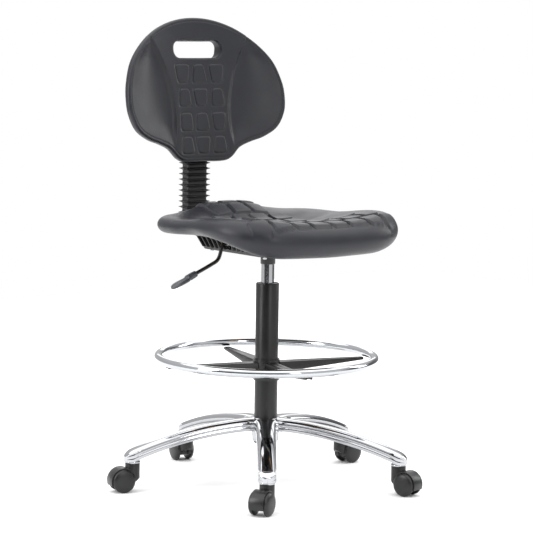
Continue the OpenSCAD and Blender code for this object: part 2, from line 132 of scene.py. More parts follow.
def as_mesh(points, faces):
    """A mesh with doubled points merged and its faces outwards."""
    mesh = bpy.data.meshes.new("shape")
    mesh.from_pydata([tuple(p) for p in points], [], [tuple(int(k) for k in f) for f in faces])
    return cleaned(mesh)


def cleaned(*meshes):
    """One mesh of all the meshes given, merged and facing outwards."""
    work = bmesh.new()
    for mesh in meshes:
        work.from_mesh(mesh)
    bmesh.ops.remove_doubles(work, verts=work.verts, dist=2e-6)
    bmesh.ops.recalc_face_normals(work, faces=work.faces)
    result = bpy.data.meshes.new("shape")
    work.to_mesh(result)
    work.free()
    return result


def new_piece(name, mesh, material, body=None, stands_for=(), sharp=35.0):
    """A piece in place, smooth up to the sharp angle. With stands_for it takes those CAD nodes' place."""
    obj = bpy.data.objects.new(name, mesh)
    bpy.context.scene.collection.objects.link(obj)
    obj.data.materials.clear()
    obj.data.materials.append(material)
    obj.data.shade_smooth()
    obj.data.set_sharp_from_angle(angle=math.radians(sharp))
    if stands_for:
        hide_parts(*stands_for)
    if body:
        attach(obj, body)
    return obj


def repeater():
    """Geometry nodes that copy a shape along a step and round the Z axis."""
    group = bpy.data.node_groups.new("repeat_shape", "GeometryNodeTree")
    face = group.interface
    face.new_socket("Shape", in_out="INPUT", socket_type="NodeSocketGeometry")
    for label, kind in (("Count", "Int"), ("Step", "Vector"), ("Turn", "Float"), ("Angle", "Float"),
                        ("Material", "Material")):
        face.new_socket(label, in_out="INPUT", socket_type="NodeSocket" + kind)
    face.new_socket("Shape", in_out="OUTPUT", socket_type="NodeSocketGeometry")
    given = add_node(group, "NodeGroupInput").outputs
    line = add_node(group, "GeometryNodeMeshLine", {"Count": given["Count"], "Offset": given["Step"]})
    number = add_node(group, "GeometryNodeInputIndex").outputs["Index"]
    turned = add_node(group, "ShaderNodeMath", {0: number, 1: given["Angle"], 2: given["Turn"]},
                      operation="MULTIPLY_ADD")
    spin = add_node(group, "ShaderNodeCombineXYZ", {"Z": turned.outputs["Value"]})
    copies = add_node(group, "GeometryNodeInstanceOnPoints",
                      {"Points": line.outputs["Mesh"], "Instance": given["Shape"],
                       "Rotation": spin.outputs["Vector"]})
    real = add_node(group, "GeometryNodeRealizeInstances", {"Geometry": copies.outputs["Instances"]})
    done = add_node(group, "GeometryNodeSetMaterial",
                    {"Geometry": real.outputs["Geometry"], "Material": given["Material"]})
    add_node(group, "NodeGroupOutput", {"Shape": done.outputs["Geometry"]})
    return group


REPEAT = repeater()


def repeated(mesh, count, material, step=(0, 0, 0), turn=0.0, angle=0.0):
    """The shape count times over: each copy moved on by step metres and turned on by angle radians."""
    obj = bpy.data.objects.new("repeat", mesh)
    bpy.context.scene.collection.objects.link(obj)
    modifier = obj.modifiers.new("repeat", "NODES")
    modifier.node_group = REPEAT
    values = {"Count": count, "Step": step, "Turn": turn, "Angle": angle, "Material": material}
    for item in REPEAT.interface.items_tree:
        if item.in_out == "INPUT" and item.name in values:
            modifier[item.identifier] = values[item.name]
    result = bpy.data.meshes.new_from_object(obj.evaluated_get(bpy.context.evaluated_depsgraph_get()))
    bpy.data.objects.remove(obj)
    return result


def loft(rings, caps=True):
    """Points and faces of a skin over equal closed rings of points."""
    count = len(rings[0])
    points = [p for ring in rings for p in ring]
    faces = []
    for r in range(len(rings) - 1):
        a, b = r * count, (r + 1) * count
        faces += [(a + k, a + (k + 1) % count, b + (k + 1) % count, b + k) for k in range(count)]
    if caps:
        last = (len(rings) - 1) * count
        faces += [tuple(range(count - 1, -1, -1)), tuple(range(last, last + count))]
    return points, faces


def lathe(profile, centre, axis=(0, 0, 1), steps=96, closed=False):
    """Turns a list of (radius, height) about an axis through centre."""
    up = Vector(axis).normalized()
    side = up.orthogonal().normalized()
    front = up.cross(side)
    rings = []
    for k in range(steps):
        a = 2 * math.pi * k / steps
        out = side * math.cos(a) + front * math.sin(a)
        rings.append([Vector(centre) + out * r + up * h for r, h in profile])
    count = len(profile)
    points = [p for ring in rings for p in ring]
    faces = []
    spans = count if closed else count - 1
    for r in range(steps):
        a, b = r * count, ((r + 1) % steps) * count
        for k in range(spans):
            n = (k + 1) % count
            quad = []
            for corner in (a + k, b + k, b + n, a + n):
                if all((points[corner] - points[q]).length > 1e-7 for q in quad):
                    quad.append(corner)
            if len(quad) > 2:
                faces.append(tuple(quad))
    return points, faces


def smooth_curve(points, steps, closed=False):
    """Catmull-Rom curve through the points, as a numpy array."""
    p = np.array(points, float)
    n = len(p)
    out = []
    for i in range(n if closed else n - 1):
        if closed:
            a, b, c, d = p[i - 1], p[i], p[(i + 1) % n], p[(i + 2) % n]
        else:
            a, b, c, d = p[max(i - 1, 0)], p[i], p[i + 1], p[min(i + 2, n - 1)]
        for t in np.arange(steps) / steps:
            out.append(0.5 * (2 * b + (c - a) * t + (2 * a - 5 * b + 4 * c - d) * t * t
                              + (3 * b - a - 3 * c + d) * t ** 3))
    if not closed:
        out.append(p[-1])
    return np.array(out)


def ease(x, low, high):
    """0 below low, 1 above high, smooth between them."""
    t = np.clip((np.asarray(x, float) - low) / (high - low), 0, 1)
    return t * t * (3 - 2 * t)


# Bright plating over hand-polished metal: a near-mirror with slow waves from
# the polishing mop and a little variation in its gloss.
chrome, tree, shader, place = new_material(
    "bright_plated_aluminium", Base_Color=srgb("b9babd"), Metallic=1.0)
tree.links.new(vary(tree, grain(tree, place, 30 * MM), 0.035, 0.085), shader.inputs["Roughness"])
bumpy(tree, shader, grain(tree, place, 30 * MM, 1.0), 0.2 * MM, 0.12)

low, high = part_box("star_base")
HUB_TOP = high.z
ARM_CROWN = HUB_TOP - 8 * MM
ARM_ARC = 820 * MM
ARM_HEIGHT = 25 * MM
COLLAR_Z = low.z if low.z > 50 * MM else 61.5 * MM
PIVOTS = [Vector(joints[f"caster_{i}_swivel"]["pos_m"]) for i in range(1, 6)]
PIVOT_R = math.hypot(PIVOTS[0].x, PIVOTS[0].y)
NOSE_R = 19 * MM
# Half of the arm's section: share of half width, depth below the crown in mm
FLANK = [(0, 0), (0.4, -0.3), (0.68, -1.6), (0.88, -4.6), (0.985, -9.0), (0.995, -12.0), (0.925, -14.2),
         (0.925, -15.6), (0.985, -17.6), (1.0, -20.5), (0.97, -23.6), (0.92, -25.0)]
half = smooth_curve(FLANK, 4)
inner = np.array([(0.80, -25.0), (0.76, -20.0), (0.74, -10.0), (0.55, -7.0), (0.0, -5.5)])
right_side = np.vstack([half, inner])
section = np.vstack([right_side, [(-x, d) for x, d in right_side[-2:0:-1]]])

stations = list(np.linspace(27 * MM, PIVOT_R, 70)) + [
    PIVOT_R + NOSE_R * math.sin(math.radians(a)) for a in (8, 18, 28, 38, 48, 57, 65, 72, 78, 83, 87, 89.5)]
rings = []
for r in stations:
    flare = 7 * MM * math.exp(-((r - 22 * MM) / (24 * MM)) ** 2)
    width = NOSE_R + 3.4 * MM * (1 - r / PIVOT_R) + flare
    end = max(r - PIVOT_R, 0)
    if end > 0:
        width = math.sqrt(max(NOSE_R ** 2 - end ** 2, 1e-9))
    crown = ARM_CROWN - (ARM_ARC - math.sqrt(ARM_ARC ** 2 - r * r)) - 7 * MM * (end / NOSE_R) ** 2.5
    height = min(ARM_HEIGHT, crown - COLLAR_Z - 4 * MM)
    fluted = float(ease(r, 44 * MM, 56 * MM)) * (1 - float(ease(r, PIVOT_R - 18 * MM, PIVOT_R - 4 * MM)))
    rings.append([Vector((r, (x if abs(x) < 0.86 or fluted > 0.999 else
                              math.copysign(abs(x) * fluted + (1 - fluted) * max(abs(x), 0.975), x)) * width,
                          crown + d * MM * height / ARM_HEIGHT)) for x, d in section])
arm = as_mesh(*loft(rings))
collar = [(0, 0), (14.6 * MM, 0), (16.4 * MM, 0.4 * MM), (17 * MM, 1.6 * MM), (17 * MM, 3.4 * MM),
          (15.8 * MM, 4.8 * MM), (14 * MM, 5.4 * MM), (14 * MM, 12 * MM), (0, 12 * MM)]
boss = as_mesh(*lathe(collar, (PIVOT_R, 0, COLLAR_Z), steps=64))
first_turn = math.atan2(PIVOTS[0].y, PIVOTS[0].x)
arms = repeated(cleaned(arm, boss), 5, chrome, turn=first_turn, angle=2 * math.pi / 5)
hub = [(25.2, -8), (28.4, -8), (29.8, -8.6), (31, -10), (32.2, -12), (32.4, -18), (31.2, -28), (29.8, -38),
       (28.8, -50), (28.4, -58), (27.6, -60), (25.2, -60)]
middle = as_mesh(*lathe([(r * MM, h * MM) for r, h in hub], (0, 0, HUB_TOP), steps=128, closed=True))
new_piece("star_base_casting", cleaned(arms, middle), chrome, "base", ["star_base"], sharp=50)

# ---------------------------------------------------------------------------
# Casters: twin-wheel, hooded, moulded in black nylon with a satin finish. The
# hood is one moulding with the stem's neck; a steel axle carries two wheels
# whose outer faces are plain shallow domes.
# ---------------------------------------------------------------------------
nylon, tree, shader, place = new_material(
    "satin_black_nylon", Base_Color=srgb("0b0b0d"), IOR=1.5)
tree.links.new(vary(tree, grain(tree, place, 6 * MM), 0.3, 0.42), shader.inputs["Roughness"])
bumpy(tree, shader, grain(tree, place, 0.5 * MM), 0.03 * MM, 0.5)

steel, tree, shader, place = new_material(
    "zinc_plated_steel", Base_Color=srgb("b9babd"), Metallic=1.0)
tree.links.new(vary(tree, grain(tree, place, 3 * MM), 0.22, 0.4), shader.inputs["Roughness"])
bumpy(tree, shader, grain(tree, place, 0.4 * MM), 0.02 * MM, 0.4)


def rounded_copy(node, name, material, radius, segments=3, angle=32.0, sharp=35.0, reshape=None):
    """A CAD node's shape with its edges rounded, riding where the node does.

    reshape gives each point's new place before the rounding."""
    mesh = nodes[node].data.copy()
    work = bmesh.new()
    work.from_mesh(mesh)
    bmesh.ops.remove_doubles(work, verts=work.verts, dist=5e-6)
    bmesh.ops.dissolve_limit(work, angle_limit=math.radians(0.6), verts=work.verts, edges=work.edges)
    if reshape:
        for vert in work.verts:
            vert.co = reshape(vert.co.copy())
    work.to_mesh(mesh)
    work.free()
    for layer in ("custom_normal", "sharp_edge"):
        if layer in mesh.attributes:
            mesh.attributes.remove(mesh.attributes[layer])
    obj = bpy.data.objects.new("rounding", mesh)
    bpy.context.scene.collection.objects.link(obj)
    bevel = obj.modifiers.new("round", "BEVEL")
    bevel.width = radius
    bevel.segments = segments
    bevel.limit_method = "ANGLE"
    bevel.angle_limit = math.radians(angle)
    shape = bpy.data.meshes.new_from_object(obj.evaluated_get(bpy.context.evaluated_depsgraph_get()))
    bpy.data.objects.remove(obj)
    return new_piece(name, shape, material, nodes[node]["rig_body"], [node], sharp)


# Wheel half section: radius, distance from the inner face, in mm
WHEEL = [(3.1, 0.6), (9, 0.6), (9.5, 0), (24.2, 0), (24.8, 0.4), (25, 1.2), (25, 4.2), (24.5, 5.6), (23.2, 7.2),
         (21, 8.6), (17.5, 9.8), (12, 10.6), (6, 10.95), (0, 11), (0, 7.5), (3.1, 7.5)]
# From the middle of the caster to a wheel's inner face
WEB_HALF = 13 * MM
for i in range(1, 6):
    stem = PIVOTS[i - 1]
    trail = Vector(joints[f"caster_{i}_left_roll"]["pos_m"]) - stem
    trail = Vector((trail.x, trail.y, 0)).normalized()

    def heeled(point):
        """The foot of the hood's neck slopes up behind the stem."""
        behind = (stem - point).dot(trail)
        if behind > 0 and 20 * MM < point.z < 24 * MM:
            point.z += 0.6 * behind
        return point

    rounded_copy(f"caster_{i}_hood", f"caster_{i}_hood_moulding", nylon, 1.1 * MM, reshape=heeled)
    nodes[f"caster_{i}_axle"].data.materials.clear()
    nodes[f"caster_{i}_axle"].data.materials.append(steel)
    for side, sign in (("left", 1), ("right", -1)):
        roll = joints[f"caster_{i}_{side}_roll"]
        axis = Vector(roll["axis"]) * sign
        centre = Vector(roll["pos_m"]) + axis * WEB_HALF
        shape = as_mesh(*lathe([(r * MM, h * MM) for r, h in WHEEL], centre, axis, steps=72, closed=True))
        new_piece(f"caster_{i}_{side}_wheel_moulding", shape, nylon,
                  f"caster_{i}_{side}", [f"caster_{i}_wheel_{side}"])

# ---------------------------------------------------------------------------
# Column: a steel tube in satin black powder coat, pressed into the hub's
# bore. Its mouth holds a plastic guide bush for the gas cylinder.
# ---------------------------------------------------------------------------
powder_coat, tree, shader, place = new_material(
    "satin_black_powder_coat", Base_Color=srgb("0b0b0d"), IOR=1.5)
tree.links.new(vary(tree, grain(tree, place, 12 * MM), 0.3, 0.42), shader.inputs["Roughness"])
bumpy(tree, shader, grain(tree, place, 0.9 * MM), 0.03 * MM, 0.6)

acetal, tree, shader, place = new_material("grey_acetal", Base_Color=srgb("8d8d8a"), IOR=1.48)
tree.links.new(vary(tree, grain(tree, place, 4 * MM), 0.35, 0.5), shader.inputs["Roughness"])
bumpy(tree, shader, grain(tree, place, 0.8 * MM), 0.02 * MM, 0.4)

low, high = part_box("column_tube")
TUBE_R = high.x
tube = [(TUBE_R, low.z), (TUBE_R, high.z - 1.6 * MM), (TUBE_R - 0.4 * MM, high.z - 0.5 * MM),
        (TUBE_R - 1.2 * MM, high.z), (TUBE_R - 2.0 * MM, high.z - 0.2 * MM), (TUBE_R - 2.6 * MM, high.z - 1 * MM),
        (TUBE_R - 2.6 * MM, low.z + 5 * MM), (5.2 * MM, low.z + 5 * MM), (5.2 * MM, low.z)]
new_piece("column_tube_coated", as_mesh(*lathe(tube, (0, 0, 0), steps=128, closed=True)), powder_coat,
          "base", ["column_tube"])
for node, material in (("column_bush", acetal), ("footring_liner", acetal), ("thrust_bearing", steel),
                       ("caster_stems", steel), ("stem_rings", steel), ("piston_rod", steel),
                       ("retaining_clip", steel), ("release_button", steel), ("back_pivot_pin", steel),
                       ("pan_screws", steel), ("seat_bolts", steel), ("back_insert", steel)):
    nodes[node].data.materials.clear()
    nodes[node].data.materials.append(material)

# ---------------------------------------------------------------------------
# Gas cylinder: ground steel tube with hard chrome, tapered at the top where
# it wedges into the mechanism's cone socket.
# ---------------------------------------------------------------------------
hard_chrome, tree, shader, place = new_material(
    "hard_chrome_on_ground_steel", Base_Color=srgb("bec0c3"), Metallic=1.0)
tree.links.new(vary(tree, grain(tree, place, 8 * MM), 0.06, 0.12), shader.inputs["Roughness"])
bumpy(tree, shader, grain(tree, place, 14 * MM, 1.0), 0.03 * MM, 0.1)
low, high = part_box("gas_cylinder")
socket_low, socket_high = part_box("cone_socket")
CYLINDER_R = 14 * MM
wedge = socket_low.z - 1 * MM
TAPER_R, BORE_R, ROD_HOLE_R, BUTTON_HOLE_R = 12.85 * MM, 11.5 * MM, 5.1 * MM, 3.1 * MM
bore_top, bore_foot = wedge - 11 * MM, low.z + 12 * MM
barrel = [(ROD_HOLE_R, low.z), (CYLINDER_R - 0.6 * MM, low.z), (CYLINDER_R, low.z + 0.6 * MM), (CYLINDER_R, wedge),
          (TAPER_R, high.z), (BUTTON_HOLE_R, high.z), (BUTTON_HOLE_R, bore_top), (BORE_R, bore_top),
          (BORE_R, bore_foot), (ROD_HOLE_R, bore_foot)]
new_piece("gas_cylinder_chromed", as_mesh(*lathe(barrel, (0, 0, 0), steps=128, closed=True)), hard_chrome,
          nodes["gas_cylinder"]["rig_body"], ["gas_cylinder"], sharp=30)
# The socket's lower lip reaches 5 mm down over the parallel part of the cylinder
foot = socket_low.z - 5 * MM
lip = [(14.1 * MM, foot), (15.2 * MM, foot), (15.8 * MM, foot + 0.5 * MM), (16 * MM, foot + 1.6 * MM),
       (16 * MM, socket_high.z), (12.9 * MM, socket_high.z), (14.1 * MM, socket_low.z)]
new_piece("cone_socket_coated", as_mesh(*lathe(lip, (0, 0, 0), steps=96, closed=True)), powder_coat,
          "seat_frame", ["cone_socket"], sharp=30)

# ---------------------------------------------------------------------------
# Foot ring: a chromed steel tube rolled and welded into a ring. Four pressed
# channel arms, deeper at the hub than at the ring, carry it on a split hub
# that slides on the column and is held by a clamp knob.
# ---------------------------------------------------------------------------
low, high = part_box("footring_tube")
TUBE_HALF = (high.z - low.z) / 2
RING_Z = (high.z + low.z) / 2
RING_R = high.x - TUBE_HALF
circle = [(RING_R + TUBE_HALF * math.cos(a), RING_Z + TUBE_HALF * math.sin(a))
          for a in np.linspace(0, 2 * math.pi, 32, endpoint=False)]
new_piece("footring_tube_chromed", as_mesh(*lathe(circle, (0, 0, 0), steps=256, closed=True)), hard_chrome,
          "footring", ["footring_tube"])

HUB_R = 28.5 * MM
ARM_TURN = math.radians(-14)
arm_top = low.z - 0.2 * MM
rings = []
for share in np.linspace(0, 1, 25):
    r = (HUB_R - 2 * MM) * (1 - share) + (RING_R - 5 * MM) * share
    width = (15.5 * (1 - share) + 7.5 * share) * MM
    depth = (23 * (1 - share) + 5.5 * share) * MM
    bead = 1.3 * MM * float(ease(share, 0.08, 0.16) - ease(share, 0.84, 0.92))
    wall = 2 * MM
    shape = [(0, -bead), (0.22, -bead), (0.42, 0), (0.78, 0), (0.93, -0.5 * MM), (1, -2 * MM), (1, -depth)]
    inside = [(1 - wall / width, -depth), (1 - wall / width, -2 * MM - wall), (0.22, -wall - bead), (0, -wall - bead)]
    right = shape + inside
    full = right + [(-x, d) for x, d in reversed(right) if x > 0]
    rings.append([Vector((r, x * width, arm_top + d)) for x, d in full])
spider = repeated(as_mesh(*loft(rings)), 4, powder_coat, turn=ARM_TURN, angle=math.pi / 2)
new_piece("footring_spider_pressed", cleaned(spider), powder_coat, "footring",
          ["footring_spider"], sharp=40)
rounded_copy("footring_hub", "footring_hub_coated", powder_coat, 1.2 * MM)

black_plastic, tree, shader, place = new_material(
    "black_textured_polypropylene", Base_Color=srgb("141416"), IOR=1.49)
tree.links.new(vary(tree, grain(tree, place, 5 * MM), 0.42, 0.58), shader.inputs["Roughness"])
bumpy(tree, shader, grain(tree, place, 0.7 * MM, 3.0), 0.06 * MM, 0.7)
rounded_copy("footring_knob", "footring_knob_moulding", black_plastic, 1.2 * MM)

# ---------------------------------------------------------------------------
# Seat mechanism and pan: a pressed steel box bolted under the seat's plywood
# insert, closed from below by a ribbed polypropylene pan.
# ---------------------------------------------------------------------------
rounded_copy("seat_mechanism", "seat_mechanism_coated", powder_coat, 0.5 * MM, 2)
low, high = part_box("under_seat_pan")
PAN_DRAFT = 0.15


def drafted(point):
    """The pan's sides lean in: PAN_DRAFT is the share of its width lost from rim to floor."""
    kept = 1 - PAN_DRAFT * (high.z - point.z) / (high.z - low.z)
    point.x = (low.x + high.x) / 2 * (1 - kept) + point.x * kept
    point.y = (low.y + high.y) / 2 * (1 - kept) + point.y * kept
    return point


rounded_copy("under_seat_pan", "under_seat_pan_moulding", black_plastic, 0.8 * MM, 2,
             reshape=drafted)
rounded_copy("back_bracket", "back_bracket_coated", powder_coat, 0.6 * MM, 2)
rounded_copy("back_bar", "back_bar_coated", powder_coat, 1.2 * MM)
rounded_copy("tilt_knob", "tilt_knob_moulding", black_plastic, 1.2 * MM)
rounded_copy("back_slide_housing", "back_slide_housing_moulding", black_plastic, 2.5 * MM, 4)
rounded_copy("back_height_knob", "back_height_knob_moulding", black_plastic, 1.5 * MM)
rounded_copy("back_bolts", "back_bolts_plated", steel, 0.4 * MM, 2)

plywood, tree, shader, place = new_material("birch_plywood", IOR=1.45, Roughness=0.6)
stretched = add_node(tree, "ShaderNodeMapping", {"Vector": place, "Scale": (6.0, 1.0, 6.0)}).outputs["Vector"]
rings_of_growth = grain(tree, stretched, 30 * MM, 4.0)
tone = add_node(tree, "ShaderNodeMix", {"Factor": rings_of_growth, "A": srgb("c49a64"), "B": srgb("a67b48")},
                data_type="RGBA")
tree.links.new(tone.outputs["Result"], shader.inputs["Base Color"])
bumpy(tree, shader, rings_of_growth, 0.1 * MM, 0.4)
nodes["seat_insert"].data.materials.clear()
nodes["seat_insert"].data.materials.append(plywood)

# ---------------------------------------------------------------------------
# Height lever: a bent steel rod in black coat, with a grey nylon paddle
# pushed on its end. It tips about the mechanism's side wall.
# ---------------------------------------------------------------------------
lever_grey, tree, shader, place = new_material(
    "grey_moulded_nylon", Base_Color=srgb("3e4045"), IOR=1.53)
tree.links.new(vary(tree, grain(tree, place, 8 * MM), 0.34, 0.46), shader.inputs["Roughness"])
bumpy(tree, shader, grain(tree, place, 0.6 * MM), 0.03 * MM, 0.5)

low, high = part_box("height_lever_rod")
fulcrum = Vector(joints["height_lever"]["pos_m"])
# Offsets from the fulcrum, in mm; the bend sits just outside the pan's wall
LEVER = [(52, -21, -0.5), (26, -10, -0.2), (0, 0, 0), (-30, 0, -0.8), (-46, 0, -2), (-52, 0, -7), (-55.5, 0, -18),
         (-59.5, 0, -30), (-66, 0, -38), (-78, 0, -44), (-94, 0, -51), (-118, 0, -61), (-134, 0, -68)]
line = [fulcrum + Vector(p) * MM for p in smooth_curve(LEVER, 6)]
ROD_R = 4 * MM


def sweep(line, radius, count=20):
    """Rings of a round rod along a line of points."""
    rings = []
    guide = Vector((0, 1, 0.01))
    for k, point in enumerate(line):
        ahead = (line[min(k + 1, len(line) - 1)] - line[max(k - 1, 0)]).normalized()
        one = ahead.cross(guide).normalized()
        two = ahead.cross(one)
        rings.append([point + (one * math.cos(a) + two * math.sin(a)) * radius
                      for a in np.linspace(0, 2 * math.pi, count, endpoint=False)])
    return rings


new_piece("height_lever_rod_coated", as_mesh(*loft(sweep(line, ROD_R))), powder_coat,
          "height_lever", ["height_lever_rod"])

tip = line[-1]
slope = (line[-1] - line[-7]).normalized()
upward = Vector((0, 1, 0)).cross(slope).normalized()
upward = upward if upward.z > 0 else -upward
# Paddle stations: distance past the rod's end, half width, half thickness and lift, in mm
PADDLE = [(-16, 4.6, 4.6, 0), (-14.5, 6.4, 6.2, 0), (-8, 7.4, 6.6, 0), (1, 8.2, 6.6, 0), (7, 9.0, 6.0, 0.2),
          (11, 11.0, 4.4, -1.2), (20, 12.6, 4.2, -1.0), (31, 13.2, 4.0, -0.4), (40, 12.4, 3.8, -0.4),
          (46.5, 9.8, 3.3, -0.8), (50.5, 6.2, 2.4, -1.2), (52.4, 2.8, 1.4, -1.4), (53, 0.8, 0.6, -1.5)]
rings = []
for d, w, h, lift in smooth_curve(PADDLE, 5):
    middle = tip + slope * (d * MM) + upward * (lift * MM)
    ring = []
    for a in np.linspace(0, 2 * math.pi, 48, endpoint=False):
        c, s = math.cos(a), math.sin(a)
        power = 0.72
        dish = -0.22 * h * (1 - abs(c)) * ease(d, 8, 26) if s > 0 else 0
        ring.append(middle + Vector((0, 1, 0)) * (math.copysign(abs(c) ** power, c) * w * MM)
                    + upward * ((math.copysign(abs(s) ** power, s) * h + dish) * MM))
    rings.append(ring)
new_piece("height_lever_paddle_moulding", as_mesh(*loft(rings)), lever_grey, "height_lever",
          ["height_lever_paddle"], sharp=60)

# ---------------------------------------------------------------------------
# Bellows: a soft rubber sleeve with ten pleats that hides the back bar. Its
# foot grips the bar and its top is held in the slide housing.
# ---------------------------------------------------------------------------
rubber, tree, shader, place = new_material("soft_black_rubber", Base_Color=srgb("0c0c0e"), IOR=1.52)
tree.links.new(vary(tree, grain(tree, place, 7 * MM), 0.42, 0.6), shader.inputs["Roughness"])
bumpy(tree, shader, grain(tree, place, 0.8 * MM), 0.05 * MM, 0.6)

low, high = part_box("bellows")
PLEATS = 10
pitch = (high.z - low.z) / PLEATS
FIN = 6 * MM
centre = Vector(((low.x + high.x) / 2, (low.y + high.y) / 2, 0))
body_x = (high.x - low.x) / 2 - FIN + 1.2 * MM
body_y = (high.y - low.y) / 2 - FIN + 1.2 * MM
# One pleat: share of the fin's reach, share of the pitch
PLEAT = [(0, 0.0), (0, 0.16), (0.14, 0.27), (0.62, 0.40), (0.96, 0.47), (1.0, 0.50), (0.96, 0.53), (0.5, 0.60),
         (0.08, 0.68), (0, 0.78)]


def round_rect(hx, hy, radius, count=8):
    """Points of a rectangle with round corners."""
    out = []
    for k, (sx, sy) in enumerate(((1, 1), (-1, 1), (-1, -1), (1, -1))):
        for a in np.linspace(k * math.pi / 2, (k + 1) * math.pi / 2, count):
            out.append((sx * (hx - radius) + radius * math.cos(a), sy * (hy - radius) + radius * math.sin(a)))
    return out


def sleeve_ring(reach, z):
    return [centre + Vector((x, y, z)) for x, y in
            round_rect(body_x + reach * FIN, body_y + reach * FIN, 6 * MM - reach * 0.5 * MM)]


one_pleat = as_mesh(*loft([sleeve_ring(reach, low.z + pitch * z) for reach, z in PLEAT + [(0, 1.0)]], caps=False))
pleats = repeated(one_pleat, PLEATS, rubber, step=(0, 0, pitch))
inner = [[centre + Vector((x, y, z)) for x, y in round_rect(21.4 * MM, 5.4 * MM, 2 * MM)] for z in (high.z, low.z)]
lining = as_mesh(*loft([sleeve_ring(0, high.z), inner[0], inner[1], sleeve_ring(0, low.z)], caps=False))
sleeve = new_piece("bellows_sleeve", cleaned(pleats, lining), rubber, None, ["bellows"], sharp=50)
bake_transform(sleeve)

# ---------------------------------------------------------------------------
# Seat: one moulding of self-skinning polyurethane foam round the plywood
# insert. The front is thick and rolls over in a waterfall, the flanks are
# thinner and drawn in, and low pads cover the sitting face.
# ---------------------------------------------------------------------------
foam, tree, shader, place = new_material("self_skinned_polyurethane", Base_Color=srgb("1c1d22"), IOR=1.45)
# Mould texture is about 0.4 mm in life; drawn at 0.9 mm so that it still shows.
cells = add_node(tree, "ShaderNodeTexVoronoi", {"Vector": place, "Scale": 1 / (0.9 * MM)}).outputs["Distance"]
slow = grain(tree, place, 45 * MM, 3.0)
tree.links.new(vary(tree, slow, 0.36, 0.48), shader.inputs["Roughness"])
tone = add_node(tree, "ShaderNodeMix", {"Factor": slow, "A": srgb("17181e"), "B": srgb("1e1f26")}, data_type="RGBA")
tree.links.new(tone.outputs["Result"], shader.inputs["Base Color"])
mixed = add_node(tree, "ShaderNodeMath", {0: cells, 1: grain(tree, place, 2.2 * MM, 3.0)}, operation="ADD")
bumpy(tree, shader, mixed.outputs["Value"], 0.07 * MM, 0.45)


def pad_relief(x, y, pads, lift, groove, soft, side):
    """Height added by low pads, in mm like x and y. A pad is four corners in order.

    soft rounds its corners and side is the width over which its edge rises."""
    total = np.zeros_like(x)
    for corners in pads:
        c = np.array(corners, float)
        near = (np.abs(x - c[:, 0].mean()) < 45) & (np.abs(y - c[:, 1].mean()) < 45)
        px, py = x[near], y[near]
        edge = np.roll(c, -1, axis=0) - c
        normal = np.stack([edge[:, 1], -edge[:, 0]], 1) / np.linalg.norm(edge, axis=1)[:, None]
        if ((c.mean(0) - c[0]) @ normal[0]) > 0:
            normal = -normal
        reach = [(px - c[k, 0]) * normal[k, 0] + (py - c[k, 1]) * normal[k, 1] for k in range(4)]
        outside = soft * np.log(sum(np.exp(np.clip(r / soft, -40, 40)) for r in reach))
        total[near] += lift * (1 - ease(outside, -side, 0)) - groove * np.exp(-((outside - 0.7) / 1.4) ** 2)
    return total


# Half outline, front to back, as share of half width and half depth
SEAT_HALF = [(0, -1), (0.5, -0.965), (0.78, -0.83), (0.93, -0.58), (0.97, -0.25), (0.955, 0.05), (0.965, 0.33),
             (0.9, 0.63), (0.7, 0.86), (0.38, 0.975), (0, 0.97)]
SEAT_X, SEAT_Y = 240 * MM, 215 * MM
seat_mid = -29 * MM
COUNT = 760


def even_rim(half, count, middle, stretch=(1, 1)):
    """Even points round a mirrored half outline, and at each the direction that points inwards."""
    closed = half + [(-x, y) for x, y in half[-2:0:-1]]
    outline = smooth_curve(closed, 60, closed=True) * stretch
    step = np.linalg.norm(np.roll(outline, -1, axis=0) - outline, axis=1)
    length = np.concatenate([[0], np.cumsum(step)])
    want = np.linspace(0, length[-1], count, endpoint=False)
    loop = np.vstack([outline, outline[:1]])
    rim = np.stack([np.interp(want, length, loop[:, 0]), np.interp(want, length, loop[:, 1])], 1)
    tangent = np.roll(rim, -1, axis=0) - np.roll(rim, 1, axis=0)
    inward = np.stack([-tangent[:, 1], tangent[:, 0]], 1)
    inward /= np.linalg.norm(inward, axis=1)[:, None]
    inward *= np.sign(((middle - rim) * inward).sum(1))[:, None]
    return rim, inward


rim, inward = even_rim(SEAT_HALF, COUNT, np.zeros(2), (SEAT_X, SEAT_Y))

bearing = np.degrees(np.arctan2(rim[:, 1] / SEAT_Y, np.abs(rim[:, 0]) / SEAT_X))
# Along the rim, by bearing from the front (-90) to the back (90): crest and lower edge heights in mm
crest = np.interp(bearing, [-90, -75, -60, -47, -30, -20, -8, 5, 14, 28, 41, 55, 66, 76, 90],
                  [583, 584, 589, 595, 599, 598, 594.5, 588, 584.5, 585, 586, 585, 590, 600, 603])
edge_low = np.interp(bearing, [-90, -60, -47, -37, -29, -20, -11, 0, 28, 90],
                     [515, 517.5, 525, 536, 546, 551, 554, 556, 551, 550])
soften = np.hanning(31) / np.hanning(31).sum()
crest = np.convolve(np.tile(crest, 3), soften, "same")[COUNT:2 * COUNT]
edge_low = np.convolve(np.tile(edge_low, 3), soften, "same")[COUNT:2 * COUNT]
widest = edge_low + (crest - edge_low) * 0.48
front = 1 - ease(bearing, -50, -5)
top_inset = 24 + 14 * front
low_inset = 20 + 16 * front
# The flank is hollowed under its widest line, between the hip and the thigh
tuck = 15 * np.exp(-((bearing + 10) / 13) ** 2)


def dish(y):
    """Height of the sitting face along its middle line."""
    return np.interp(y, [-215, -180, -140, -90, -40, 10, 60, 110, 150, 190],
                     [583, 583, 579, 573, 569, 568, 571, 578, 589, 603])


